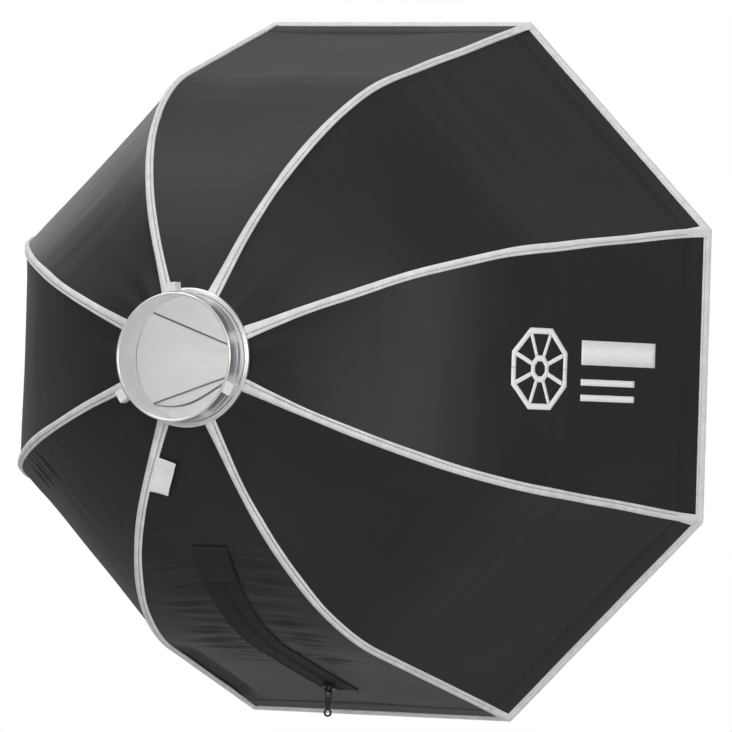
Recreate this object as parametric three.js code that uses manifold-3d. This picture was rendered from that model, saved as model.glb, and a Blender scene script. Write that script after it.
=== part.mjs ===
// A folding octabox: a bayonet mount, eight hinged ribs, a canopy of eight panels, an inner baffle
// and a front diffuser. Millimetres, +Z up. The lens axis is +Y, pointing forward out of the
// diffuser, and the origin is the centre of the mount tube's rear rim.
//
// Ribs are numbered clockwise as seen from behind, and rib 1 is the left one of the top pair.
// Panel k lies between rib k and the next rib, so panel 5 is at the bottom and has the zip. Each
// panel creases along its middle when the frame folds, so it is made as two halves.

import * as THREE from 'three';
import { mergeVertices } from 'three/addons/utils/BufferGeometryUtils.js';
import Module from 'manifold-3d';

const wasm = await Module();
wasm.setup();

const deg = THREE.MathUtils.degToRad;

// Driving dimensions
const ribCount = 8;
const cornerRadius = 300;                 // axis to a corner of the front rim
const rimY = 370;                         // front rim, from the tube's rear rim
const clothStart = { r: 55, y: 26.4 };    // a point on the rib line beside the flange
const hubSlope = deg(13);                 // slope of the rib line at the hub, from square to the axis
const rimSlope = deg(73.5);               // and at the front rim
const bendRadius = 215;                   // of the bend between the two straights
const clothEdgeRadius = 53;               // inner edge of the canopy, tucked under the flange
const flatFrom = 110;                     // past this radius a panel is flat from rib to rib
const clothThickness = 1.2;
const gap = 0.3;                          // left between neighbouring pieces

const tube = { inner: 47.5, outer: 49.5, length: 29 };
const flange = { inner: 49.8, outer: 53.5, rear: 22.6, front: 25.2 };
const hubRing = { inner: 49.8, outer: 56, rear: 28.8, front: 33.6, earOverlap: 1.5 };
const lug = { count: 3, width: 9.4, reach: 57, length: 8.5, firstAngle: deg(94.5) };
const screw = { count: 4, circle: 51.6, radius: 0.8, headRadius: 1.7, headHeight: 1.1, cover: 0.6, past: 1 };

const rod = { radius: 2.2, depth: 5.2 };  // depth of a rib's centre line below the canopy's face
const pin = { circle: 60, radius: 1.2, headRadius: 2, headLength: 0.8 };
const eye = { radius: 3.4, halfWidth: 2.2 };
const ear = { radius: 3.6, inside: 2.6, outside: 4.2 };
const tip = { radius: 3.5, length: 14, fromRim: 3, bore: 2.6, wall: 2.5 };

const lipDepth = 28;                      // how far the front diffuser sits behind the rim
const diffuser = { flats: 266, corners: 279, thickness: 1.2 };
const baffle = { rimRadius: 176, rimY: 102, centreY: 160, thickness: 1.2, centreRadius: 2 };

const zip = { topY: 86, rimEndY: 300, sliderY: 277, tapeWidth: 15, thickness: 1 };
const slider = { length: 12, width: 9, tailWidth: 5.4, shoulder: 3.15, thickness: 2.4 };
const arch = { height: 4, width: 2.4, halfLength: 4, wall: 1, sunk: 0.5 };
const puller = { length: 21, width: 6.4, waist: 3.5, thickness: 1.2, bar: 1.3 };
const pullRing = { outer: 3.4, inner: 2, neckAngle: 0.8 * Math.PI };
const pullWindow = { width: 4.2, length: 4.6 };
const tag = { width: 17, length: 30, thickness: 0.6, fromAxis: 82, fromRib: 4 };

const halfAngle = Math.PI / ribCount;     // from a rib to the middle of a panel

// Materials
function material(colour, roughness, metalness = 0) {
  return new THREE.MeshStandardMaterial({ color: colour, roughness, metalness });
}

const aluminium = material(0xc9cacc, 0.3, 0.9);
const darkMetal = material(0x8d9094, 0.4, 0.8);
const springSteel = material(0xa9abae, 0.35, 0.85);
const blackPlastic = material(0x1c1c1d, 0.5);
const blackNylon = material(0x202021, 0.55);
const whiteCloth = material(0xe4e4e2, 0.85);
const zipTape = material(0x161617, 0.8);
const labelCloth = material(0xdedede, 0.8);

const octabox = new THREE.Group();

function add(name, geometry, look, parent = octabox) {
  const mesh = new THREE.Mesh(geometry, look);
  mesh.name = name;
  parent.add(mesh);
  return mesh;
}

// Solids
function toSolid(geometry) {
  const bare = geometry.clone();
  bare.deleteAttribute('normal');
  bare.deleteAttribute('uv');
  const merged = mergeVertices(bare, 1e-4);
  return new wasm.Manifold(new wasm.Mesh({
    numProp: 3,
    vertProperties: new Float32Array(merged.attributes.position.array),
    triVerts: new Uint32Array(merged.index.array),
  }));
}

function toGeometry(solid) {
  const mesh = solid.getMesh();
  const geometry = new THREE.BufferGeometry();
  geometry.setAttribute('position', new THREE.BufferAttribute(mesh.vertProperties, 3));
  geometry.setIndex(new THREE.BufferAttribute(mesh.triVerts, 1));
  return geometry;
}

function joined(geometries) {
  return toGeometry(geometries.map(toSolid).reduce((sum, solid) => sum.add(solid)));
}

function cutBy(geometry, tools) {
  return toGeometry(tools.map(toSolid).reduce((rest, solid) => rest.subtract(solid), toSolid(geometry)));
}

// A ring round the lens axis, of rectangular section.
function ring(inner, outer, rear, front, segments = 56) {
  const section = [[inner, rear], [outer, rear], [outer, front], [inner, front], [inner, rear]];
  return new THREE.LatheGeometry(section.map(([x, y]) => new THREE.Vector2(x, y)), segments);
}

// A round bar along Y, from y0 to y1, whose centre line is at x, z.
function barAlongY(radius, y0, y1, x = 0, z = 0, sides = 16) {
  return new THREE.CylinderGeometry(radius, radius, y1 - y0, sides).translate(x, (y0 + y1) / 2, z);
}

// A round bar along Z, centred on z = 0.
function barAlongZ(radius, halfLength, x, y, sides = 12) {
  return new THREE.CylinderGeometry(radius, radius, 2 * halfLength, sides).rotateX(Math.PI / 2)
    .translate(x, y, 0);
}

function block(x0, x1, y0, y1, z0, z1) {
  return new THREE.BoxGeometry(x1 - x0, y1 - y0, z1 - z0)
    .translate((x0 + x1) / 2, (y0 + y1) / 2, (z0 + z1) / 2);
}

// A closed sheet between two grids of points, front[i][j] and back[i][j].
function sheetBetween(front, back) {
  const rows = front.length;
  const columns = front[0].length;
  const points = [...front.flat(), ...back.flat()];
  const at = (side, i, j) => side * rows * columns + i * columns + j;
  const faces = [];
  const quad = (a, b, c, d) => faces.push(a, b, c, a, c, d);
  for (let i = 0; i + 1 < rows; i++) {
    for (let j = 0; j + 1 < columns; j++) {
      quad(at(0, i, j), at(0, i, j + 1), at(0, i + 1, j + 1), at(0, i + 1, j));
      quad(at(1, i, j), at(1, i + 1, j), at(1, i + 1, j + 1), at(1, i, j + 1));
    }
    quad(at(0, i, 0), at(0, i + 1, 0), at(1, i + 1, 0), at(1, i, 0));
    const last = columns - 1;
    quad(at(0, i + 1, last), at(0, i, last), at(1, i, last), at(1, i + 1, last));
  }
  for (let j = 0; j + 1 < columns; j++) {
    quad(at(0, 0, j + 1), at(0, 0, j), at(1, 0, j), at(1, 0, j + 1));
    quad(at(0, rows - 1, j), at(0, rows - 1, j + 1), at(1, rows - 1, j + 1), at(1, rows - 1, j));
  }
  const volume = signedVolume(points, faces);
  const geometry = new THREE.BufferGeometry().setFromPoints(points);
  geometry.setIndex(volume < 0 ? faces.reverse() : faces);
  return geometry;
}

function signedVolume(points, faces) {
  let sum = 0;
  for (let i = 0; i < faces.length; i += 3) {
    const [a, b, c] = [points[faces[i]], points[faces[i + 1]], points[faces[i + 2]]];
    sum += a.dot(b.clone().cross(c)) / 6;
  }
  return sum;
}

// The rib line in its own radial plane, x out from the lens axis and y forward: a straight, a bend
// and a straight. A depth greater than 0 gives the parallel line that far inside the canopy.
class RibLine extends THREE.Curve {
  constructor(depth, fromRadius, cutShort = 0) {
    super();
    const first = new THREE.Vector2(Math.cos(hubSlope), Math.sin(hubSlope));
    const last = new THREE.Vector2(Math.cos(rimSlope), Math.sin(rimSlope));
    const start = new THREE.Vector2(clothStart.r, clothStart.y);
    const end = new THREE.Vector2(cornerRadius, rimY);
    const across = end.clone().sub(start);
    const along = across.cross(last) / first.cross(last);
    const corner = start.clone().addScaledVector(first, along);
    const setback = bendRadius * Math.tan((rimSlope - hubSlope) / 2);
    const bendStart = corner.clone().addScaledVector(first, -setback);
    this.centre = bendStart.clone().add(new THREE.Vector2(-first.y, first.x).multiplyScalar(bendRadius));
    this.first = first;
    this.last = last;
    this.radius = bendRadius - depth;
    this.bendStart = this.onBend(hubSlope);
    this.bendEnd = this.onBend(rimSlope);
    const rearEnd = (this.bendStart.x - fromRadius) / first.x;
    this.start = this.bendStart.clone().addScaledVector(first, -rearEnd);
    this.lengths = [rearEnd, this.radius * (rimSlope - hubSlope),
      end.distanceTo(corner) - setback - cutShort];
  }

  onBend(slope) {
    return new THREE.Vector2(Math.sin(slope), -Math.cos(slope)).multiplyScalar(this.radius).add(this.centre);
  }

  // The point a distance along the line from its start, and the slope there.
  at(distance) {
    const [straight, bend] = this.lengths;
    if (distance <= straight) {
      return { point: this.start.clone().addScaledVector(this.first, distance), slope: hubSlope };
    }
    if (distance <= straight + bend) {
      const slope = hubSlope + (distance - straight) / this.radius;
      return { point: this.onBend(slope), slope };
    }
    const past = distance - straight - bend;
    return { point: this.bendEnd.clone().addScaledVector(this.last, past), slope: rimSlope };
  }

  get total() {
    return this.lengths[0] + this.lengths[1] + this.lengths[2];
  }

  getPoint(t) {
    const { point } = this.at(t * this.total);
    return new THREE.Vector3(point.x, point.y, 0);
  }

  // Distances along the line that draw its shape: both straights' ends and steps round the bend.
  stations(bendSteps) {
    const [straight, bend] = this.lengths;
    const inBend = Array.from({ length: bendSteps + 1 }, (_, i) => straight + (bend * i) / bendSteps);
    return [0, ...inBend, this.total];
  }
}

// Radius of a panel's middle line where its ribs are at ribRadius: round at the hub, flat beyond.
function middleRadius(ribRadius) {
  const flatness = THREE.MathUtils.smoothstep(ribRadius, clothEdgeRadius, flatFrom);
  return ribRadius * (1 - (1 - Math.cos(halfAngle)) * flatness);
}

// A group whose +X is the radial direction at an angle from +X towards +Z, and whose +Z is tangential.
function radialGroup(angle) {
  const group = new THREE.Group();
  group.rotation.y = -angle;
  octabox.add(group);
  return group;
}

function ribAngle(k) {
  return Math.PI / 2 + halfAngle - 2 * halfAngle * (k - 1);
}

const nextRib = (k) => (k % ribCount) + 1;

// The bayonet: a thin tube with three lugs round its rear rim, which a lamp's mount takes.
function addBayonet() {
  add('mount_tube', ring(tube.inner, tube.outer, 0, tube.length), aluminium);
  for (let i = 0; i < lug.count; i++) {
    const shape = block(tube.outer + gap, lug.reach, 0, lug.length, -lug.width / 2, lug.width / 2);
    const angle = lug.firstAngle + (i * 2 * Math.PI) / lug.count;
    add(`bayonet_lug_${i + 1}`, shape, aluminium, radialGroup(angle));
  }
}

// The canopy's inner edge is clamped between the rear flange and the rib ring by screws.
function addHub() {
  const screwHoles = [];
  for (let i = 1; i <= screw.count; i++) {
    const angle = (i * 2 * Math.PI) / screw.count;
    const x = screw.circle * Math.cos(angle);
    const z = screw.circle * Math.sin(angle);
    const rear = flange.rear + screw.cover;
    const front = hubRing.front + screw.past;
    const underHead = hubRing.front + gap;
    screwHoles.push(barAlongY(screw.radius + gap, rear, front, x, z, 12));
    add(`hub_screw_${i}`, joined([
      barAlongY(screw.radius, rear + gap, front, x, z, 12),
      barAlongY(screw.headRadius, underHead, underHead + screw.headHeight, x, z, 12),
    ]), springSteel);
  }
  const flangeRing = ring(flange.inner, flange.outer, flange.rear, flange.front);
  add('rear_flange', cutBy(flangeRing, screwHoles), aluminium);

  const pinY = new RibLine(rod.depth, pin.circle).start.y;
  const ears = [];
  for (let k = 1; k <= ribCount; k++) {
    for (const side of [-1, 1]) {
      const middle = (side * (ear.inside + ear.outside)) / 2;
      const halfWidth = (ear.outside - ear.inside) / 2;
      const root = hubRing.outer - hubRing.earOverlap;
      const plate = joined([
        barAlongZ(ear.radius, halfWidth, pin.circle, pinY),
        block(root, pin.circle, pinY - ear.radius, pinY + ear.radius, -halfWidth, halfWidth),
      ]);
      ears.push(cutBy(plate, [barAlongZ(pin.radius + gap, 2 * halfWidth, pin.circle, pinY)])
        .translate(0, 0, middle).rotateY(-ribAngle(k)));
    }
  }
  const body = cutBy(ring(hubRing.inner, hubRing.outer, hubRing.rear, hubRing.front), screwHoles);
  add('rib_ring', joined([body, ...ears]), darkMetal);
}

// One rib: a round spring-steel rod with an eye on its hinge pin and a plastic cap at the front rim.
function addRib(k) {
  const group = radialGroup(ribAngle(k));
  const line = new RibLine(rod.depth, pin.circle, tip.fromRim + tip.wall);
  const { x, y } = line.start;

  const section = new THREE.Shape().absarc(0, 0, rod.radius, 0, 2 * Math.PI);
  const rodShape = new THREE.ExtrudeGeometry(section, { curveSegments: 4, steps: 20, extrudePath: line });
  const eyeShape = joined([rodShape, barAlongZ(eye.radius, eye.halfWidth, x, y)]);
  const hole = barAlongZ(pin.radius + gap, 2 * eye.halfWidth, x, y);
  add(`rib_${k}`, cutBy(eyeShape, [hole]), springSteel, group);

  const headAt = ear.outside + gap;
  const half = [[0, 0], [pin.radius, 0], [pin.radius, headAt], [pin.headRadius, headAt],
    [pin.headRadius, headAt + pin.headLength], [0, headAt + pin.headLength]];
  const outline = [...half.slice(1).map(([r, z]) => [r, -z]).reverse(), ...half.slice(1)];
  const pinShape = new THREE.LatheGeometry(outline.map(([r, z]) => new THREE.Vector2(r, z)), 10);
  add(`rib_hinge_pin_${k}`, pinShape.rotateX(Math.PI / 2).translate(x, y, 0), springSteel, group);

  const capEnd = new RibLine(rod.depth, pin.circle, tip.fromRim).getPoint(1);
  const mouth = -tip.length;
  const floor = gap - tip.wall;
  const cap = [[0, 0], [tip.radius, 0], [tip.radius, mouth],
    [tip.bore, mouth], [tip.bore, floor], [0, floor]];
  const capShape = new THREE.LatheGeometry(cap.map(([r, z]) => new THREE.Vector2(r, z)).reverse(), 12)
    .rotateZ(rimSlope - Math.PI / 2).translate(capEnd.x, capEnd.y, 0);
  add(`rib_tip_${k}`, capShape, blackPlastic, group);
}

// Half a canopy panel, from its rib to its middle line. side is +1 for anticlockwise of the rib.
function panelHalf(side) {
  const grids = [0, clothThickness].map((depth) => {
    const line = new RibLine(depth, clothEdgeRadius);
    return line.stations(10).map((distance) => {
      const { point } = line.at(distance);
      const middle = middleRadius(point.x);
      const across = middle * Math.sin(halfAngle) - gap / 2;
      return [
        new THREE.Vector3(point.x, point.y, (side * gap) / 2),
        new THREE.Vector3(middle * Math.cos(halfAngle), point.y, side * across),
      ];
    });
  });
  return sheetBetween(grids[0], grids[1]);
}

function addPanel(k) {
  for (const [rib, side] of [[k, -1], [nextRib(k), 1]]) {
    add(`panel_${k}_near_rib_${rib}`, panelHalf(side), blackNylon, radialGroup(ribAngle(rib)));
  }
}

// An octagon with its corners cut off to clear the rib tips, as a flat sheet across the lip.
function addDiffuser() {
  const centre = new THREE.Vector2();
  const reach = (diffuser.flats - diffuser.corners * Math.cos(halfAngle)) / Math.sin(halfAngle);
  const points = [];
  for (let k = 1; k <= ribCount; k++) {
    for (const side of [1, -1]) {
      points.push(new THREE.Vector2(diffuser.corners, side * reach).rotateAround(centre, ribAngle(k)));
    }
  }
  const options = { depth: diffuser.thickness, bevelEnabled: false };
  const sheet = new THREE.ExtrudeGeometry(new THREE.Shape(points), options);
  add('front_diffuser', sheet.rotateX(Math.PI / 2).translate(0, rimY - lipDepth, 0), whiteCloth);
}

// The inner baffle: a shallow eight-sided cone of cloth, its middle farthest forward.
function addBaffle() {
  const { rimRadius, rimY: y, centreRadius, centreY, thickness } = baffle;
  const section = [[0, centreY], [centreRadius, centreY], [rimRadius, y], [rimRadius, y + thickness],
    [centreRadius, centreY + thickness], [0, centreY + thickness]];
  const profile = section.map(([r, height]) => new THREE.Vector2(r, height));
  add('inner_baffle', new THREE.LatheGeometry(profile, ribCount, halfAngle), whiteCloth);
}

// The middle line of a panel as distances forward, with its radius at each, from one y to another.
function middleLine(fromY, toY, steps, proud) {
  const line = new RibLine(0, clothEdgeRadius);
  return Array.from({ length: steps + 1 }, (_, i) => {
    const y = fromY + ((toY - fromY) * i) / steps;
    return new THREE.Vector2(middleRadius(radiusAt(line, y)) + proud, y);
  });
}

// The rib line's radius where it is y forward of the origin.
function radiusAt(line, y) {
  let [low, high] = [0, line.total];
  for (let i = 0; i < 40; i++) {
    const middle = (low + high) / 2;
    if (line.at(middle).point.y < y) low = middle;
    else high = middle;
  }
  return line.at(low).point.x;
}

// The zip on the bottom panel: a tape sewn along each side of its middle line.
function addZipTapes() {
  const group = radialGroup(ribAngle(5) - halfAngle);
  for (const [rib, side] of [[5, 1], [6, -1]]) {
    const grids = [gap + zip.thickness, gap].map((proud) => middleLine(zip.topY, zip.rimEndY, 14, proud)
      .map(({ x, y }) => [gap, gap + zip.tapeWidth].map((z) => new THREE.Vector3(x, y, side * z))));
    add(`zip_tape_near_rib_${rib}`, sheetBetween(grids[0], grids[1]), zipTape, group);
  }
}

// Slider and pull. The slider's length lies along the zip, and its arch holds the pull's top bar.
function addSlider() {
  const proud = gap + zip.thickness + gap;
  const [here, ahead] = middleLine(zip.sliderY, zip.sliderY + 1, 1, proud);
  const slope = Math.atan2(ahead.x - here.x, 1);
  const group = radialGroup(ribAngle(5) - halfAngle);
  const archTop = slider.thickness + arch.height;

  const round = slider.length / 2 - slider.shoulder;
  const outline = new THREE.Shape();
  outline.moveTo(-slider.length / 2, -slider.tailWidth / 2);
  outline.lineTo(round, -slider.width / 2);
  outline.absarc(round, 0, slider.width / 2, -Math.PI / 2, Math.PI / 2);
  outline.lineTo(-slider.length / 2, slider.tailWidth / 2);
  const options = { depth: slider.thickness, bevelEnabled: false, curveSegments: 6 };
  const plate = new THREE.ExtrudeGeometry(outline, options)
    .rotateX(-Math.PI / 2).rotateZ(Math.PI / 2).scale(-1, 1, 1);
  const inside = arch.halfLength - arch.wall;
  const foot = slider.thickness - arch.sunk;
  const archShape = cutBy(
    block(foot, archTop, -arch.halfLength, arch.halfLength, -arch.width / 2, arch.width / 2),
    [block(0, archTop - arch.wall, -inside, inside, -arch.width, arch.width)],
  );
  const sliderShape = joined([toOutward(plate), archShape]);
  add('zip_slider', sliderShape.rotateZ(-slope).translate(here.x, here.y, 0), darkMetal, group);

  const barAt = new THREE.Vector2(archTop - arch.wall - gap - puller.bar / 2, 0)
    .rotateAround(new THREE.Vector2(), -slope).add(here);
  add('zip_pull', pullShape().translate(barAt.x, barAt.y, 0), darkMetal, group);
}

// The pull, hanging along +X from the middle of its top bar: a tapered frame with a ring at its end.
function pullShape() {
  const { bar, length, width, waist, thickness } = puller;
  const ringAt = length - pullRing.outer;
  const pull = new THREE.Shape();
  pull.moveTo(-bar / 2, -width / 2);
  pull.lineTo(ringAt - pullRing.outer, -waist / 2);
  pull.absarc(ringAt, 0, pullRing.outer, -pullRing.neckAngle, pullRing.neckAngle);
  pull.lineTo(-bar / 2, width / 2);
  const opening = new THREE.Path();
  opening.moveTo(bar / 2, -pullWindow.width / 2);
  opening.lineTo(bar / 2, pullWindow.width / 2);
  opening.lineTo(bar / 2 + pullWindow.length, pullWindow.width / 2);
  opening.lineTo(bar / 2 + pullWindow.length, -pullWindow.width / 2);
  pull.holes.push(opening);
  pull.holes.push(new THREE.Path().absarc(ringAt, 0, pullRing.inner, 0, 2 * Math.PI, true));
  const options = { depth: thickness, bevelEnabled: false, curveSegments: 8 };
  return new THREE.ExtrudeGeometry(pull, options).translate(0, 0, -thickness / 2).rotateX(Math.PI / 2);
}

// A mirrored geometry has its faces turned inside out; this turns them back.
function toOutward(geometry) {
  const bare = geometry.clone();
  bare.deleteAttribute('normal');
  bare.deleteAttribute('uv');
  const merged = mergeVertices(bare, 1e-4);
  const points = [];
  for (let i = 0; i < merged.attributes.position.count; i++) {
    points.push(new THREE.Vector3().fromBufferAttribute(merged.attributes.position, i));
  }
  const faces = Array.from(merged.index.array);
  if (signedVolume(points, faces) < 0) merged.setIndex(faces.reverse());
  return merged;
}

// A cloth tag sewn into the binding of rib 6, lying on the bottom panel.
function addTag() {
  const line = new RibLine(0, clothEdgeRadius);
  const along = (tag.fromAxis - clothEdgeRadius) / Math.cos(hubSlope);
  const grids = [gap + tag.thickness, gap].map((proud) => [0, tag.length].map((step) => {
    const { point, slope } = line.at(along + step);
    const inner = new THREE.Vector3(point.x, point.y, 0);
    const middle = middleRadius(point.x);
    const outer = new THREE.Vector3(middle * Math.cos(halfAngle), point.y, middle * Math.sin(halfAngle));
    const across = outer.clone().sub(inner).normalize();
    const out = new THREE.Vector3(Math.sin(slope), -Math.cos(slope), 0);
    return [tag.fromRib, tag.fromRib + tag.width]
      .map((z) => inner.clone().addScaledVector(across, z).addScaledVector(out, proud));
  }));
  add('side_tag', sheetBetween(grids[0], grids[1]), labelCloth, radialGroup(ribAngle(6)));
}

addBayonet();
addHub();
for (let k = 1; k <= ribCount; k++) addRib(k);
for (let k = 1; k <= ribCount; k++) addPanel(k);
addDiffuser();
addBaffle();
addZipTapes();
addSlider();
addTag();

export default octabox;
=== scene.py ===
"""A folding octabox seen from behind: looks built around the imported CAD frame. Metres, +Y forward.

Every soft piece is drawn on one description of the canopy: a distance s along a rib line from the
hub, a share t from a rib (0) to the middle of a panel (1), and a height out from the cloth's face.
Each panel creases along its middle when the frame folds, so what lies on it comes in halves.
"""
import math

import bmesh
import bpy
import numpy as np
from mathutils import Matrix, Vector


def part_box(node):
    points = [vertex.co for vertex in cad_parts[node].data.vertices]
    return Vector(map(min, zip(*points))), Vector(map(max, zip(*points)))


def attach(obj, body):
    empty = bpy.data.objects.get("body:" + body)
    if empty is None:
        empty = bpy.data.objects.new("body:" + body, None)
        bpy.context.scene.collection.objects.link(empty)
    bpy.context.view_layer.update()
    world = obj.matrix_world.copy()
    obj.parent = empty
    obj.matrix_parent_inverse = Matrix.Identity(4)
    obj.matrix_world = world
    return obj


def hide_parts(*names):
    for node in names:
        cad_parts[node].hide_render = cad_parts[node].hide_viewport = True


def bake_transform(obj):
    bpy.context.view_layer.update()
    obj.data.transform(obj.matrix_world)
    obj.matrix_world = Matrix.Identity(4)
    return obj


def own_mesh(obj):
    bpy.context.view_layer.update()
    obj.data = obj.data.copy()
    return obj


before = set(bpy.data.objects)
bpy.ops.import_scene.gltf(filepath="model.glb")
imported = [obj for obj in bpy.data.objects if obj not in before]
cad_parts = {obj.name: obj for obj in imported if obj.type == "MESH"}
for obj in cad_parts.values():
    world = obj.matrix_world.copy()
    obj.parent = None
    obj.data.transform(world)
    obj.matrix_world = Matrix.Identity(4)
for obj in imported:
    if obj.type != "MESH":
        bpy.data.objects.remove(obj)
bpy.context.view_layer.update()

# The canopy, as in the CAD
RIBS = 8
HALF = math.pi / RIBS
CORNER_RADIUS = 0.300
RIM_Y = 0.370
CLOTH_START = np.array([0.055, 0.0264])
HUB_SLOPE = math.radians(13)
RIM_SLOPE = math.radians(73.5)
BEND_RADIUS = 0.215
EDGE_RADIUS = 0.053
FLAT_FROM = 0.110
LIP_DEPTH = 0.028
CLOTH = 0.0006


def rib_angle(k):
    """Angle of rib k round the lens axis, from +X towards +Z."""
    return math.pi / 2 + HALF - 2 * HALF * (k - 1)


def next_rib(k):
    return k % RIBS + 1


def smooth(x, low=0.0, high=1.0):
    x = np.clip((x - low) / (high - low), 0, 1)
    return x * x * (3 - 2 * x)


# ---------------------------------------------------------------- the canopy's shape
class RibLine:
    """The rib line in its radial plane: a straight, a bend and a straight, by distance from its hub end."""

    def __init__(self):
        first = np.array([math.cos(HUB_SLOPE), math.sin(HUB_SLOPE)])
        last = np.array([math.cos(RIM_SLOPE), math.sin(RIM_SLOPE)])
        across = np.array([CORNER_RADIUS, RIM_Y]) - CLOTH_START
        along = (across[0] * last[1] - across[1] * last[0]) / (first[0] * last[1] - first[1] * last[0])
        corner = CLOTH_START + first * along
        setback = BEND_RADIUS * math.tan((RIM_SLOPE - HUB_SLOPE) / 2)
        self.first, self.last = first, last
        self.bend_start = corner - first * setback
        self.bend_end = corner + last * setback
        self.centre = self.bend_start + BEND_RADIUS * np.array([-first[1], first[0]])
        self.straight = (self.bend_start[0] - EDGE_RADIUS) / first[0]
        self.bend = BEND_RADIUS * (RIM_SLOPE - HUB_SLOPE)
        rest = np.array([CORNER_RADIUS, RIM_Y]) - self.bend_end
        self.total = self.straight + self.bend + float(np.hypot(*rest))

    def at(self, s):
        """Radius, y and slope at distances s; past either end the straights run on."""
        s = np.asarray(s, float)
        bent = np.clip(s - self.straight, 0, self.bend)
        slope = HUB_SLOPE + bent / BEND_RADIUS
        before = np.minimum(s - self.straight, 0)
        after = np.maximum(s - self.straight - self.bend, 0)
        r = self.centre[0] + BEND_RADIUS * np.sin(slope) + before * self.first[0] + after * self.last[0]
        y = self.centre[1] - BEND_RADIUS * np.cos(slope) + before * self.first[1] + after * self.last[1]
        return r, y, slope

    def s_at_y(self, y):
        steps = np.linspace(0, self.total, 4000)
        return float(np.interp(y, self.at(steps)[1], steps))


LINE = RibLine()


def middle_radius(r):
    return r * (1 - (1 - math.cos(HALF)) * smooth(r, EDGE_RADIUS, FLAT_FROM))


def half_width(s):
    """Distance across the cloth from a rib to the middle of its panel."""
    r = LINE.at(s)[0]
    m = middle_radius(r)
    return np.hypot(r - m * math.cos(HALF), m * math.sin(HALF))


def lattice(ix, iy, seed):
    n = np.sin(ix * 127.1 + iy * 311.7 + seed * 74.7) * 43758.5453
    return n - np.floor(n)


def noise2(x, y, seed):
    """Smooth noise from -1 to 1, the same on every run."""
    ix, iy = np.floor(x), np.floor(y)
    fx, fy = x - ix, y - iy
    fx, fy = fx * fx * (3 - 2 * fx), fy * fy * (3 - 2 * fy)
    a = lattice(ix, iy, seed) * (1 - fx) + lattice(ix + 1, iy, seed) * fx
    b = lattice(ix, iy + 1, seed) * (1 - fx) + lattice(ix + 1, iy + 1, seed) * fx
    return (a * (1 - fy) + b * fy) * 2 - 1


ZIP_PANEL = 5


def cloth_relief(panel, s, c):
    """Height of a panel's cloth above flat, at distance s and signed distance c from its middle."""
    w = np.clip(np.abs(c) / half_width(s), 0, 1)
    inner = 1 - w * w
    middle_of_bend = LINE.straight + LINE.bend * 0.28
    bend_end = LINE.straight + LINE.bend
    pull_in = -0.0034 * np.exp(-((s - middle_of_bend) / 0.055) ** 2) * inner
    pull_in = pull_in - 0.0012 * smooth(s, 0.10, 0.22) * inner
    gathers = 0.0004 * np.exp(-s / 0.026) * np.cos(c / 0.0042 + panel) * smooth(inner, 0, 0.35)
    fans = 0.0007 * noise2(c / (0.006 + 0.20 * s), s / 0.09, panel + 11)
    fans = fans * np.exp(-s / 0.075) * smooth(inner, 0, 0.3)
    uneven = 0.0010 * noise2(s / 0.085, c / 0.07, panel) * smooth(inner, 0, 0.6)
    ripple = 0.00022 * noise2(s / 0.008, c / 0.045, panel + 31)
    ripple = ripple * smooth(s, 0.06, 0.12) * smooth(inner, 0, 0.25)
    ripple = ripple * (1 - smooth(s, bend_end + 0.02, bend_end + 0.10))
    relief = pull_in + gathers + fans + uneven + ripple
    from_rim = LINE.total - s
    band = 0.0002 * (1 - smooth(np.abs(from_rim - 0.014), 0.0125, 0.0145))
    seam = -0.0004 * np.exp(-((from_rim - LIP_DEPTH) / 0.0012) ** 2)
    relief = relief * (1 - 0.75 * smooth(-from_rim, -0.035, -0.018)) + (band + seam) * smooth(inner, 0, 0.1)
    if panel == ZIP_PANEL + 1:
        across = np.exp(-((np.abs(half_width(s) - np.abs(c)) - 0.022) / 0.014) ** 2) * (c < 0)
        along = smooth(s, 0.12, 0.15) * (1 - smooth(s, 0.22, 0.27))
        relief = relief + 0.0012 * noise2(s / 0.0048, c / 0.05, 79) * across * along
    if panel == ZIP_PANEL:
        across = np.exp(-((np.abs(c) - 0.034) / 0.020) ** 2)
        along = smooth(s, 0.085, 0.13) * (1 - smooth(s, 0.27, 0.33))
        relief = relief + 0.0017 * noise2(s / 0.0050, c / 0.06, 77) * across * along
        relief = relief + 0.0008 * noise2(s / 0.0033, c / 0.04, 78) * across * along
        from_rib = half_width(s) + c
        tuck = np.exp(-((from_rib - 0.0115) / 0.0070) ** 2)
        tuck = tuck * smooth(s, 0.24, 0.30) * smooth(from_rim, 0.029, 0.060)
        relief = relief - 0.0065 * tuck
    return relief


def local_frame(k):
    """Radial, axial and tangential unit vectors at rib k."""
    a = rib_angle(k)
    radial = np.array([math.cos(a), 0, math.sin(a)])
    tangent = np.array([-math.sin(a), 0, math.cos(a)])
    return radial, np.array([0, 1, 0]), tangent


def unit(v):
    return v / np.linalg.norm(v, axis=-1, keepdims=True)


def rib_normal(s, k):
    """Outward normal of the rib line itself, in the rib's radial plane."""
    e, y, _ = local_frame(k)
    slope = LINE.at(s)[2][..., None]
    return np.sin(slope) * e - np.cos(slope) * y


def panel_of(k, side):
    """The panel on a rib's clockwise (-1) or anticlockwise (+1) side."""
    return k if side < 0 else (k - 2) % RIBS + 1


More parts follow.
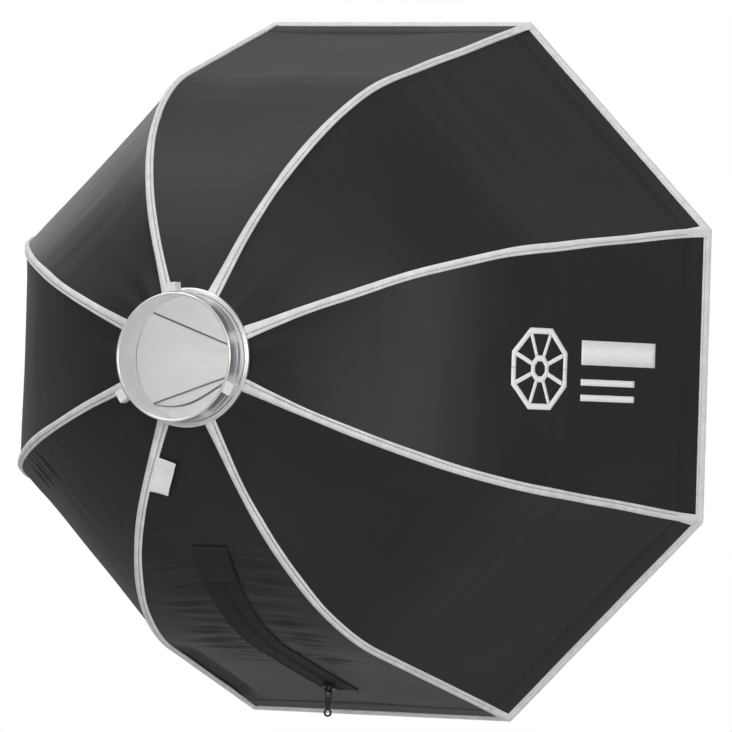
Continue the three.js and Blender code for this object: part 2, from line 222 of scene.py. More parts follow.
def canopy(k, side, s, t, out=0.0, relief=True):
    """Points on rib k's half panel: distance s, share t towards the middle, height out from the face."""
    s, t = np.broadcast_arrays(np.asarray(s, float), np.asarray(t, float))
    e, y_axis, tangent = local_frame(k)

    def flat_at(at):
        r, y, _ = LINE.at(at)
        m = middle_radius(r)
        rib = r[..., None] * e + y[..., None] * y_axis
        mid = (m * math.cos(HALF))[..., None] * e + (side * m * math.sin(HALF))[..., None] * tangent
        return rib, mid + y[..., None] * y_axis

    rib, mid = flat_at(s)
    ahead_rib, ahead_mid = flat_at(s + 1e-4)
    share = t[..., None]
    point = rib + (mid - rib) * share
    along = unit(ahead_rib + (ahead_mid - ahead_rib) * share - point)
    normal = unit(np.cross(along, mid - rib)) * side
    lift = np.asarray(out, float)
    if relief:
        lift = lift + cloth_relief(panel_of(k, side), s, (1 - t) * half_width(s) * -side)
    near = smooth(t * half_width(s), 0, 0.004)[..., None]
    direction = unit(rib_normal(s, k) * (1 - near) + normal * near)
    return point + direction * np.broadcast_to(lift, s.shape)[..., None]


def beside_middle(k, side, s, c, out):
    """One point on a half panel, a distance c from the panel's middle line."""
    at = np.array([float(s)])
    return canopy(k, side, at, 1 - c / half_width(at), out=out)[0]


# ---------------------------------------------------------------- mesh helpers
def mesh_object(name, points, faces, weave=None, smooth_faces=True):
    mesh = bpy.data.meshes.new(name)
    mesh.from_pydata([tuple(p) for p in np.asarray(points).reshape(-1, 3)], [], faces)
    mesh.validate()
    if weave is not None:
        attribute = mesh.attributes.new("weave", "FLOAT_VECTOR", "POINT")
        flat = np.zeros((len(mesh.vertices), 3), np.float32)
        flat[:, :2] = np.asarray(weave).reshape(-1, 2)
        attribute.data.foreach_set("vector", flat.ravel())
    mesh.polygons.foreach_set("use_smooth", [smooth_faces] * len(mesh.polygons))
    obj = bpy.data.objects.new(name, mesh)
    bpy.context.scene.collection.objects.link(obj)
    return obj


def keep_border_sharp(obj):
    """Marks an open sheet's border sharp, so that its cut edges don't round its shading."""
    bm = bmesh.new()
    bm.from_mesh(obj.data)
    for edge in bm.edges:
        edge.smooth = not edge.is_boundary
    bm.to_mesh(obj.data)
    bm.free()


def grid_faces(rows, columns, flip=False, close=False):
    faces = []
    across = columns if close else columns - 1
    for i in range(rows - 1):
        for j in range(across):
            n = (j + 1) % columns
            face = (i * columns + j, (i + 1) * columns + j, (i + 1) * columns + n, i * columns + n)
            faces.append(face[::-1] if flip else face)
    return faces


def open_sheet(name, points, flip, weave):
    """A cloth sheet through a grid of points, with crisp cut edges."""
    rows, columns = np.shape(points)[:2]
    obj = mesh_object(name, points, grid_faces(rows, columns, flip=flip), weave)
    keep_border_sharp(obj)
    return obj


SHARP = math.radians(55)


def recalc(obj):
    """Turns every face of a closed mesh outwards and keeps its real edges crisp."""
    bm = bmesh.new()
    bm.from_mesh(obj.data)
    bmesh.ops.recalc_face_normals(bm, faces=bm.faces)
    for edge in bm.edges:
        edge.smooth = edge.calc_face_angle(0) < SHARP
    bm.to_mesh(obj.data)
    bm.free()
    return obj


def swept(name, rings, weave=None, capped=True):
    """A closed tube through rings of points, rings[i][j], with a flat cap on each end."""
    rings = np.asarray(rings)
    rows, columns = rings.shape[:2]
    faces = grid_faces(rows, columns, close=True)
    if capped:
        faces.append(tuple(range(columns)))
        faces.append(tuple(range((rows - 1) * columns, rows * columns)))
    return recalc(mesh_object(name, rings, faces, weave))


def lathe(name, profile, steps=160):
    """A closed ring about the lens axis from a closed outline of (radius, y)."""
    profile = np.asarray(profile, float)
    angles = np.linspace(0, 2 * math.pi, steps, endpoint=False)
    rings = np.stack([np.stack([profile[:, 0] * math.cos(a), profile[:, 1], profile[:, 0] * math.sin(a)], -1)
                      for a in angles])
    columns = len(profile)
    faces = []
    for i in range(steps):
        n = (i + 1) % steps
        for j in range(columns):
            m = (j + 1) % columns
            faces.append((i * columns + j, n * columns + j, n * columns + m, i * columns + m))
    return recalc(mesh_object(name, rings, faces))


def modifier(obj, kind, **settings):
    made = obj.modifiers.new(kind.title(), kind)
    for key, value in settings.items():
        setattr(made, key, value)
    return made


def rounded(obj, width, degrees, segments=2):
    """Rounds the edges that turn by more than an angle."""
    modifier(obj, "BEVEL", width=width, segments=segments, limit_method="ANGLE",
             angle_limit=math.radians(degrees))


def dress(obj, material):
    obj.data.materials.clear()
    for m in material if isinstance(material, (list, tuple)) else [material]:
        obj.data.materials.append(m)
    return obj


def fold_with(obj):
    """Bakes the piece's placement into its mesh."""
    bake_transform(obj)


def halves():
    """Every half panel as (rib, side, panel)."""
    return [(k, side, panel_of(k, side)) for k in range(1, RIBS + 1) for side in (-1, 1)]


# ---------------------------------------------------------------- materials
def new_material(name):
    material = bpy.data.materials.new(name)
    material.use_nodes = True
    nodes = material.node_tree.nodes
    return material, nodes, material.node_tree.links, nodes["Principled BSDF"]


def node(nodes, kind, **settings):
    """A new node. Settings in lower case are its properties, and the others its inputs."""
    made = nodes.new(kind)
    for key, value in settings.items():
        if key.islower():
            setattr(made, key, value)
        else:
            made.inputs[key].default_value = value
    return made


def product(nodes, links, socket, factor):
    """A socket's value times a number, or times another socket's value."""
    made = node(nodes, "ShaderNodeMath", operation="MULTIPLY")
    links.new(socket, made.inputs[0])
    if isinstance(factor, float):
        made.inputs[1].default_value = factor
    else:
        links.new(factor, made.inputs[1])
    return made.outputs[0]


def weave_height(nodes, links, pitch):
    """Threads over and under at a pitch in metres, on the cloth's own directions."""
    coordinates = node(nodes, "ShaderNodeAttribute", attribute_name="weave")
    split = node(nodes, "ShaderNodeSeparateXYZ")
    links.new(coordinates.outputs["Vector"], split.inputs[0])
    waves = []
    for axis in ("X", "Y"):
        wave = node(nodes, "ShaderNodeMath", operation="SINE")
        links.new(product(nodes, links, split.outputs[axis], 2 * math.pi / pitch), wave.inputs[0])
        waves.append(wave.outputs[0])
    return product(nodes, links, *waves)


def soft_noise(nodes, links, scale, detail=3.0):
    coordinates = node(nodes, "ShaderNodeTexCoord")
    made = node(nodes, "ShaderNodeTexNoise", Scale=scale, Detail=detail)
    links.new(coordinates.outputs["Object"], made.inputs["Vector"])
    return made.outputs["Fac"]


def ramp(nodes, links, source, stops):
    made = node(nodes, "ShaderNodeValToRGB")
    while len(made.color_ramp.elements) < len(stops):
        made.color_ramp.elements.new(0.5)
    for element, (position, colour) in zip(made.color_ramp.elements, stops):
        element.position = position
        element.color = (*colour, 1) if len(colour) == 3 else (colour[0],) * 3 + (1,)
    links.new(source, made.inputs["Fac"])
    return made.outputs["Color"]


def shades(nodes, links, shader, pattern, low, high, ends=(0.3, 0.7)):
    """The shader's colour, from a low to a high shade over a pattern."""
    colour = ramp(nodes, links, pattern, [(ends[0], low), (ends[1], high)])
    links.new(colour, shader.inputs["Base Color"])
    return colour


def bump(nodes, links, principled, layers):
    """Stacks bump nodes: layers of (height socket, strength, distance)."""
    last = None
    for height, strength, distance in layers:
        made = nodes.new("ShaderNodeBump")
        made.inputs["Strength"].default_value = strength
        made.inputs["Distance"].default_value = distance
        links.new(height, made.inputs["Height"])
        if last is not None:
            links.new(last.outputs["Normal"], made.inputs["Normal"])
        last = made
    links.new(last.outputs["Normal"], principled.inputs["Normal"])


def nylon():
    material, nodes, links, shader = new_material("black_nylon")
    patchy = soft_noise(nodes, links, 9, 4)
    shades(nodes, links, shader, patchy, (0.0075, 0.0074, 0.0078), (0.0115, 0.0110, 0.0112))
    links.new(ramp(nodes, links, patchy, [(0.3, (0.46,)), (0.7, (0.54,))]), shader.inputs["Roughness"])
    shader.inputs["Specular IOR Level"].default_value = 0.34
    shader.inputs["Sheen Weight"].default_value = 0.05
    shader.inputs["Sheen Roughness"].default_value = 0.35
    bump(nodes, links, shader, [
        (soft_noise(nodes, links, 260, 2), 0.12, 0.0006),
        (weave_height(nodes, links, 0.0011), 0.35, 0.00012),
    ])
    return material


def silver():
    material, nodes, links, shader = new_material("silver_lining")
    patchy = soft_noise(nodes, links, 40, 3)
    shades(nodes, links, shader, patchy, (0.62, 0.63, 0.64), (0.78, 0.79, 0.80))
    shader.inputs["Metallic"].default_value = 0.75
    shader.inputs["Roughness"].default_value = 0.42
    bump(nodes, links, shader, [(weave_height(nodes, links, 0.0022), 0.6, 0.0003)])
    return material


def binding_tape():
    material, nodes, links, shader = new_material("binding_tape")
    height = weave_height(nodes, links, 0.0012)
    patchy = soft_noise(nodes, links, 120, 4)
    shades(nodes, links, shader, patchy, (0.62, 0.62, 0.625), (0.80, 0.80, 0.805), ends=(0.25, 0.75))
    shader.inputs["Roughness"].default_value = 0.75
    shader.inputs["Sheen Weight"].default_value = 0.25
    bump(nodes, links, shader, [(patchy, 0.25, 0.0006), (height, 0.55, 0.00025)])
    return material


def thread(name, colour):
    material, nodes, links, shader = new_material(name)
    patchy = soft_noise(nodes, links, 900, 2)
    dark = tuple(c * 0.7 for c in colour)
    shades(nodes, links, shader, patchy, dark, colour, ends=(0.35, 0.65))
    shader.inputs["Roughness"].default_value = 0.6
    bump(nodes, links, shader, [(patchy, 0.4, 0.0001)])
    return material


def black_webbing(name, pitch, colour):
    material, nodes, links, shader = new_material(name)
    patchy = soft_noise(nodes, links, 60, 3)
    low, high = colour * 0.75, colour * 1.35
    shades(nodes, links, shader, patchy, (low,) * 3, (high,) * 3)
    shader.inputs["Roughness"].default_value = 0.78
    bump(nodes, links, shader, [(weave_height(nodes, links, pitch), 0.7, 0.0003)])
    return material


def hook_tape():
    material, nodes, links, shader = new_material("loop_band")
    fuzz = soft_noise(nodes, links, 1500, 2)
    shades(nodes, links, shader, fuzz, (0.010,) * 3, (0.030,) * 3)
    shader.inputs["Roughness"].default_value = 0.95
    shader.inputs["Sheen Weight"].default_value = 0.4
    bump(nodes, links, shader, [(fuzz, 0.9, 0.0008)])
    return material


def diffusion_cloth(name, tint=(0.92, 0.92, 0.91), through_share=0.75):
    """Thin white cloth that lets light through."""
    material, nodes, links, shader = new_material(name)
    patchy = soft_noise(nodes, links, 25, 4)
    colour = shades(nodes, links, shader, patchy, tuple(c * 0.96 for c in tint), tint)
    shader.inputs["Roughness"].default_value = 0.9
    shader.inputs["Specular IOR Level"].default_value = 0.2
    bump(nodes, links, shader, [(weave_height(nodes, links, 0.0009), 0.3, 0.00015)])
    through = nodes.new("ShaderNodeBsdfTranslucent")
    links.new(colour, through.inputs["Color"])
    mixed = nodes.new("ShaderNodeMixShader")
    mixed.inputs["Fac"].default_value = through_share
    links.new(shader.outputs[0], mixed.inputs[1])
    links.new(through.outputs[0], mixed.inputs[2])
    links.new(mixed.outputs[0], nodes["Material Output"].inputs["Surface"])
    return material


LINES_PER_METRE = 5200.0


def spun_aluminium():
    """Satin turned aluminium, with fine lines round the lens axis."""
    material, nodes, links, shader = new_material("spun_aluminium")
    coordinates = node(nodes, "ShaderNodeTexCoord")
    split = node(nodes, "ShaderNodeSeparateXYZ")
    links.new(coordinates.outputs["Object"], split.inputs[0])
    flat = node(nodes, "ShaderNodeCombineXYZ")
    links.new(split.outputs["X"], flat.inputs["X"])
    links.new(split.outputs["Z"], flat.inputs["Z"])
    radius = node(nodes, "ShaderNodeVectorMath", operation="LENGTH")
    links.new(flat.outputs[0], radius.inputs[0])
    joined = node(nodes, "ShaderNodeCombineXYZ")
    links.new(product(nodes, links, radius.outputs["Value"], LINES_PER_METRE), joined.inputs["X"])
    links.new(product(nodes, links, split.outputs["Y"], LINES_PER_METRE), joined.inputs["Y"])
    lines = node(nodes, "ShaderNodeTexNoise", Scale=1.0, Detail=4.0)
    links.new(joined.outputs[0], lines.inputs["Vector"])
    patchy = soft_noise(nodes, links, 35, 3)
    shades(nodes, links, shader, patchy, (0.80, 0.81, 0.82), (0.90, 0.905, 0.91))
    links.new(ramp(nodes, links, lines.outputs["Fac"], [(0.3, (0.33,)), (0.7, (0.46,))]),
              shader.inputs["Roughness"])
    shader.inputs["Metallic"].default_value = 1.0
    bump(nodes, links, shader, [(lines.outputs["Fac"], 0.35, 0.00008)])
    return material


def metal(name, colour, roughness, grain=500, metallic=1.0):
    material, nodes, links, shader = new_material(name)
    patchy = soft_noise(nodes, links, grain, 3)
    shades(nodes, links, shader, patchy, tuple(c * 0.85 for c in colour), colour)
    links.new(ramp(nodes, links, patchy, [(0.3, (roughness * 0.85,)), (0.7, (roughness * 1.15,))]),
              shader.inputs["Roughness"])
    shader.inputs["Metallic"].default_value = metallic
    bump(nodes, links, shader, [(patchy, 0.2, 0.0001)])
    return material


def moulded_plastic():
    return metal("moulded_plastic", (0.02, 0.02, 0.021), 0.5, grain=900, metallic=0.0)


def printed_ink():
    material, nodes, links, shader = new_material("white_print")
    patchy = soft_noise(nodes, links, 700, 3)
    shades(nodes, links, shader, patchy, (0.78,) * 3, (0.90,) * 3)
    shader.inputs["Roughness"].default_value = 0.55
    bump(nodes, links, shader, [(patchy, 0.15, 0.0001)])
    return material


NYLON = nylon()
SILVER = silver()
TAPE = binding_tape()
GREY_THREAD = thread("grey_thread", (0.34, 0.34, 0.34))
BLACK_THREAD = thread("black_thread", (0.03, 0.03, 0.03))
ZIP_TAPE = black_webbing("zip_tape_weave", 0.0009, 0.004)
PATCH = black_webbing("patch_weave", 0.0010, 0.005)
LOOP_BAND = hook_tape()
DIFFUSION = diffusion_cloth("diffusion_cloth")
LABEL = diffusion_cloth("label_weave", through_share=0.12)
ALUMINIUM = spun_aluminium()
LUG_METAL = metal("lug_metal", (0.94, 0.94, 0.945), 0.55, metallic=0.55)
STEEL = metal("spring_steel", (0.62, 0.63, 0.64), 0.32)
RING_METAL = metal("ring_enamel", (0.30, 0.31, 0.32), 0.4)
ZIP_METAL = metal("zip_enamel", (0.05, 0.05, 0.055), 0.35, metallic=0.6)
PLASTIC = moulded_plastic()
PRINT = printed_ink()

# ---------------------------------------------------------------- canopy panels
def panel_rows(panel):
    """Distances along a panel's grid lines, closer together on the two wrinkled panels."""
    spacing = 0.0019 if panel in (ZIP_PANEL, ZIP_PANEL + 1) else 0.0036
    return np.linspace(0, LINE.total, int(LINE.total / spacing) + 1)


def half_panel(k, side, panel):
    s = panel_rows(panel)
    t = np.linspace(0, 1, 30)
    grid_s, grid_t = np.meshgrid(s, t, indexing="ij")
    points = canopy(k, side, grid_s, grid_t)
    weave = np.stack([grid_s, grid_t * half_width(grid_s)], -1)
    obj = open_sheet(f"canopy_panel_{panel}_near_rib_{k}", points, side < 0, weave)
    modifier(obj, "SOLIDIFY", thickness=CLOTH, offset=-1, material_offset=1, material_offset_rim=0)
    dress(obj, [NYLON, SILVER])
    fold_with(obj)
    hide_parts(f"panel_{panel}_near_rib_{k}")
    flat = canopy(k, side, grid_s, grid_t, relief=False)
    return obj


for k, side, panel in halves():
    half_panel(k, side, panel)


# ---------------------------------------------------------------- stitches
STITCH = 0.0026
STITCH_GAP = 0.0009
STITCH_WIDTH = 0.00042


def stitches(name, path, normals, material, length=STITCH, gap=STITCH_GAP, width=STITCH_WIDTH):
    """A run of thread stitches along a densely sampled path, each a small bead dipping at both ends."""
    path = np.asarray(path)
    steps = np.linalg.norm(np.diff(path, axis=0), axis=1)
    distance = np.concatenate([[0], np.cumsum(steps)])
    starts = np.arange(0.5 * gap, distance[-1] - length, length + gap)
    profile = [(0.0, 0.35, -0.25), (0.18, 0.85, 0.35), (0.5, 1.0, 0.6),
               (0.82, 0.85, 0.35), (1.0, 0.35, -0.25)]
    sides = 6
    points, faces = [], []

    def at(d, source):
        return np.stack([np.interp(d, distance, source[:, i]) for i in range(3)], -1)

    for start in starts:
        base = len(points)
        a, b = at(start, path), at(start + length, path)
        along = unit(b - a)
        up = unit(at(start + length / 2, np.asarray(normals)))
        across = np.cross(along, up)
        for share, girth, lift in profile:
            centre = a + (b - a) * share + up * lift * width
            for j in range(sides):
                turn = 2 * math.pi * j / sides
                points.append(centre + (across * math.cos(turn) + up * math.sin(turn)) * girth * width * 0.5)
        for i in range(len(profile) - 1):
            for j in range(sides):
                n = (j + 1) % sides
                faces.append((base + i * sides + j, base + (i + 1) * sides + j,
                              base + (i + 1) * sides + n, base + i * sides + n))
        faces.append(tuple(base + j for j in range(sides)))
        last = base + (len(profile) - 1) * sides
        faces.append(tuple(last + j for j in range(sides)))
    obj = recalc(mesh_object(name, points, faces))
    return dress(obj, material)


# ---------------------------------------------------------------- binding over the ribs
# Across a binding: distance from the rib line as a share of its half width, and height in metres.
BINDING_HALF_WIDTH = 0.0036
BINDING_SECTION = [(-1.0, -0.0002), (-1.03, 0.0006), (-0.90, 0.0014), (-0.55, 0.0019), (-0.1, 0.0020),
                   (0.22, 0.0016), (0.31, 0.0003), (0.39, 0.0003), (0.50, 0.0014), (0.72, 0.0018),
                   (0.93, 0.0013), (1.03, 0.0006), (1.0, -0.0002), (0.5, -0.0004), (0.0, -0.0004),
                   (-0.5, -0.0004)]
GROOVE = 0.35


def groove_side(k):
    """The stitched side of rib k's binding: clockwise on the first three ribs."""
    return -1 if k <= 3 else 1


def binding_width(k, s):
    flare = 1 + 0.42 * np.exp(-np.maximum(s, 0) / 0.022)
    return BINDING_HALF_WIDTH * flare * (1 + 0.08 * noise2(s / 0.03, s * 0, k + 50))


def over_rib(k, s, a, h):
    """A point a to one side of rib k's line, h out from the cloth there."""
    side = 1 if a > 0 else -1
    wander = 0.0005 * noise2(s / 0.045, s * 0, k + 60) * smooth(LINE.total - s, 0, 0.02)
    point = canopy(k, side, s, abs(a) / half_width(s), out=h, relief=False)
    return point + wander[..., None] * local_frame(k)[2]


def rib_binding(k):
    s = np.concatenate([np.arange(0.0004, LINE.total - 0.002, 0.004), [LINE.total + 0.0006]])
    rings = np.stack([
        np.stack([over_rib(k, s[i:i + 1], groove_side(k) * share * float(binding_width(k, s[i])), h)[0]
                  for share, h in BINDING_SECTION]) for i in range(len(s))])
    around = np.array([share for share, _ in BINDING_SECTION]) * BINDING_HALF_WIDTH
    weave = np.stack(np.broadcast_arrays(s[:, None], around[None, :]), -1)
    obj = swept(f"rib_binding_{k}", rings, weave)
    rounded(obj, 0.00015, 50, segments=1)
    dress(obj, TAPE)
    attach(obj, f"rib_{k}")

    fine = np.arange(0.004, LINE.total - 0.004, 0.002)
    offsets = groove_side(k) * GROOVE * binding_width(k, fine)
    path = np.stack([over_rib(k, fine[i:i + 1], offsets[i], 0.0004)[0] for i in range(len(fine))])
    run = stitches(f"rib_stitching_{k}", path, rib_normal(fine, k), GREY_THREAD)
    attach(run, f"rib_{k}")


for k in range(1, RIBS + 1):
    rib_binding(k)


# ---------------------------------------------------------------- binding round the front rim
# Distance back from the rim and height out from the cloth, round the folded tape.
RIM_SECTION = [(0.0074, -0.0001), (0.0075, 0.0006), (0.0066, 0.0013), (0.0057, 0.0012), (0.0052, 0.0003),
               (0.0046, 0.0013), (0.0036, 0.0020), (0.0010, 0.0021), (-0.0010, 0.0015), (-0.0019, -0.0002),
               (-0.0010, -0.0016), (0.0010, -0.0019), (0.0040, -0.0018), (0.0062, -0.0016), (0.0064, -0.0010),
               (0.0030, -0.0004)]


def rim_binding(k, side, panel):
    t = np.linspace(0, 1, 30)
    rings = []
    for share in t:
        waver = noise2(np.array([share * 3.1]), np.array([0.0]), panel + 90)[0]
        sag = 0.0003 * waver * 4 * share * (1 - share)
        rings.append([canopy(k, side, LINE.total - d + sag, share, out=h, relief=False)
                      for d, h in RIM_SECTION])
    around = np.cumsum([0.0] + [math.dist(a, b) for a, b in zip(RIM_SECTION, RIM_SECTION[1:])])
    width = float(half_width(LINE.total))
    weave = np.stack(np.broadcast_arrays(around[None, :], (t * width)[:, None]), -1)
    obj = swept(f"rim_binding_{panel}_near_rib_{k}", rings, weave)
    dress(obj, TAPE)
    fold_with(obj)

    fine = np.linspace(0.03, 1.0, 70)
    at = np.full_like(fine, LINE.total - 0.0052)
    path = canopy(k, side, at, fine, out=0.0006, relief=False)
    normals = canopy(k, side, at, fine, out=0.0016, relief=False) - path
    run = stitches(f"rim_stitching_{panel}_near_rib_{k}", path, normals, GREY_THREAD)
    fold_with(run)


for k, side, panel in halves():
    rim_binding(k, side, panel)


# The binding's end folded over the rim at each corner, over the rib's cap.
def corner_fold(k):
    centre_line = [(0.030, 0.0016), (0.020, 0.0017), (0.010, 0.0018), (0.002, 0.0018), (-0.0014, 0.0010),
                   (-0.0022, -0.0006), (-0.0014, -0.0024), (0.003, -0.0026), (0.011, -0.0024)]
    widths = [0.0036, 0.0040, 0.0046, 0.0050, 0.0050, 0.0048, 0.0046, 0.0044, 0.0040]
    rings = []
    for (d, h), half in zip(centre_line, widths):
        s = np.array([LINE.total - d])
        outer = [over_rib(k, s, a * half, h - 0.0002 * a * a)[0] for a in (-1, -0.6, -0.2, 0.2, 0.6, 1)]
        sunk = 0.0007 if h > 0 else -0.0007
        inner = [over_rib(k, s, a * half * 0.96, h - sunk)[0] for a in (1, 0.6, 0.2, -0.2, -0.6, -1)]
        rings.append(outer + inner)
    obj = swept(f"corner_fold_{k}", rings, np.zeros((len(rings), 12, 2)))
    modifier(obj, "SUBSURF", levels=1, render_levels=1)
    dress(obj, TAPE)
    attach(obj, f"rib_{k}")


for k in range(1, RIBS + 1):
    corner_fold(k)


# ---------------------------------------------------------------- stitched loop band inside the lip
def strip_on(k, side, s_values, t_values, low, high, name):
    """A closed strip lying on a half panel between two heights, over ranges of s and t."""
    grid_s, grid_t = np.meshgrid(s_values, t_values, indexing="ij")
    top = canopy(k, side, grid_s, grid_t, out=high)
    under = canopy(k, side, grid_s, grid_t, out=low)
    rings = np.concatenate([top, under[:, ::-1]], axis=1)
    across = grid_t * half_width(grid_s)
    weave = np.stack([np.concatenate([v, v[:, ::-1]], 1) for v in (grid_s, across)], -1)
    return swept(name, rings, weave)


def lip_band(k, side, panel):
    band = strip_on(k, side, LINE.total - np.array([0.0275, 0.024, 0.018, 0.012, 0.0068]),
                    np.linspace(0.035, 1, 26), -0.0018, -0.0008, f"loop_band_{panel}_near_rib_{k}")
    dress(band, LOOP_BAND)
    fold_with(band)
    fine = np.linspace(0.045, 1.0, 60)
    at = np.full_like(fine, LINE.total - LIP_DEPTH)
    path = canopy(k, side, at, fine, out=0.0002)
    normals = canopy(k, side, at, fine, out=0.0012) - path
    run = stitches(f"band_stitching_{panel}_near_rib_{k}", path, normals, BLACK_THREAD)
    fold_with(run)


for k, side, panel in halves():
    lip_band(k, side, panel)

# ---------------------------------------------------------------- front diffuser
FUNNEL_RADIUS = 0.214
DIFFUSION_CLOTH = 0.0004
DIFFUSER_Y = RIM_Y - LIP_DEPTH
DIFFUSER_TURN = 0.0290
DIFFUSER_TURN_HEIGHT = -0.0036


def diffusion_sheet(name, points, flip, weave):
    obj = open_sheet(name, points, flip, weave)
    modifier(obj, "SOLIDIFY", thickness=DIFFUSION_CLOTH, offset=-1)
    return dress(obj, DIFFUSION)


def declare_cloth(grid):
    """A piece cut from flat cloth: its grid becomes an array and nothing more is done with it."""
    grid = np.asarray(grid)


def diffuser_turn(k, side, t):
    """Where the diffuser leaves its hem and turns in towards the lens axis."""
    at = np.full_like(t, LINE.total - DIFFUSER_TURN)
    return canopy(k, side, at, t, out=DIFFUSER_TURN_HEIGHT, relief=False)


def diffuser_edge(k, side, panel):
    """The diffuser's hem on the loop band, and the outer part of its face."""
    t = np.linspace(0, 1, 26)
    hem = [(LINE.total - d, -0.0030) for d in (0.0105, 0.0115, 0.016, 0.021, 0.0255)]
    rows = [canopy(k, side, np.full_like(t, s), t, out=h, relief=False) for s, h in hem]
    outer = diffuser_turn(k, side, t)
    scale = np.linalg.norm(outer[0] * [1, 0, 1])
    for radius in np.linspace(scale - 0.0035, FUNNEL_RADIUS, 22):
        row = outer * [radius / scale, 0, radius / scale]
        ruffle = 0.0006 * noise2(t * 40 + panel * 7, t * 0 + 3, 5) * smooth(radius, 0.25, 0.286)
        row[:, 1] = DIFFUSER_Y + ruffle * np.sin(math.pi * t)
        rows.append(row)
    rows = np.stack(rows)
    weave = np.stack([np.broadcast_to(np.arange(len(rows))[:, None] * 0.003, rows.shape[:2]),
                      np.broadcast_to(t[None, :] * 0.11, rows.shape[:2])], -1)
    obj = diffusion_sheet(f"diffuser_edge_{panel}_near_rib_{k}", rows, side < 0, weave)
    fold_with(obj)
    declare_cloth(rows)


def diffuser_wedge(k, side, panel):
    """A sixteenth of the diffuser's middle, from the lens axis to the outer part."""
    t = np.linspace(0, 1, 16)
    corner = diffuser_turn(k, side, t) * [1, 0, 1]
    scale = np.linalg.norm(corner[0])
    rows = []
    for radius in np.linspace(0.0003, FUNNEL_RADIUS, 24):
        row = corner * radius / scale
        row[:, 1] = DIFFUSER_Y
        rows.append(row)
    rows = np.stack(rows)
    obj = diffusion_sheet(f"diffuser_middle_{panel}_near_rib_{k}", rows, side < 0, rows[..., [0, 2]])
    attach(obj, "root")
    gather(obj)
    declare_cloth(rows)
    return obj


def gather(obj):
    """Gives the piece its own copy of its mesh."""
    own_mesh(obj)


for k, side, panel in halves():
    diffuser_edge(k, side, panel)
wedges = [diffuser_wedge(k, side, panel) for k, side, panel in halves()]
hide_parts("front_diffuser")

# ---------------------------------------------------------------- inner baffle
BAFFLE_RIM = 0.176
BAFFLE_RIM_Y = 0.102
BAFFLE_CENTRE_Y = 0.160
ROD_DEPTH = 0.0052


def baffle_point(k, side, r, t):
    """Radius r on the rib's plane, share t towards the middle between two ribs."""
    e, y_axis, tangent = local_frame(k)
    sag = 0.010 * np.sin(math.pi * np.clip(r / BAFFLE_RIM, 0, 1)) * smooth(t)
    height = BAFFLE_CENTRE_Y - (BAFFLE_CENTRE_Y - BAFFLE_RIM_Y) * (r / BAFFLE_RIM) ** 0.92 + sag
    scallop = 1 - 0.06 * smooth(t) * smooth(r, 0.10, BAFFLE_RIM)
    rib = r[..., None] * e
    m = r * math.cos(HALF)
    mid = (m * math.cos(HALF))[..., None] * e + (m * math.sin(HALF) * side)[..., None] * tangent
    flat = (rib + (mid - rib) * t[..., None]) * scallop[..., None]
    return flat + height[..., None] * y_axis


def baffle_half_gore(k, side, panel):
    r, t = np.meshgrid(np.linspace(0.0004, BAFFLE_RIM, 34), np.linspace(0, 1, 14), indexing="ij")
    points = baffle_point(k, side, r, t)
    obj = diffusion_sheet(f"baffle_gore_{panel}_near_rib_{k}", points, side > 0, points[..., [0, 2]])
    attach(obj, "root")
    gather(obj)
    declare_cloth(points)
    return obj


def baffle_seam(k):
    """The gores' turned edges, standing behind the cloth along each rib's plane, coloured grey as painted
    shade of the doubled cloth against the light.
    """
    e, y_axis, tangent = local_frame(k)
    r = np.linspace(0.004, BAFFLE_RIM, 40)
    base = baffle_point(k, 1, r, np.zeros_like(r))
    section = ((-0.0005, 0.0002), (-0.0006, -0.0010), (0.0006, -0.0010), (0.0005, 0.0002))
    rings = [[point + tangent * a + y_axis * b for a, b in section] for point in base]
    obj = swept(f"baffle_seam_{k}", rings, np.zeros((len(rings), 4, 2)))
    dress(obj, BAFFLE_PAINTED_SHADE)
    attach(obj, "root")
    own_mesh(obj)
    return obj


def baffle_fold():
    """A loose tuck hanging below the seam towards rib 7, which shows through the tube; its grey colour is
    painted shade of the fold.
    """
    e, y_axis, tangent = local_frame(7)
    share = np.linspace(0, 1, 36)
    r = 0.092 - 0.066 * share
    fall = 0.0088 * np.sin(math.pi * share) ** 0.8 + 0.0016 * np.sin(2 * math.pi * share)
    section = ((-0.0008, 0.0006), (-0.0007, -0.0012), (0.0003, -0.0018), (0.0009, -0.0010), (0.0009, 0.0006))
    base = baffle_point(7, 1, r, np.zeros_like(r)) + tangent * fall[:, None]
    swell = 0.3 + 0.7 * np.sin(math.pi * share)
    rings = [[point + tangent * a * wide + y_axis * b for a, b in section]
             for point, wide in zip(base, swell)]
    obj = swept("baffle_fold", rings, np.zeros((len(rings), 5, 2)))
    dress(obj, BAFFLE_PAINTED_SHADE)
    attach(obj, "root")
    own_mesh(obj)


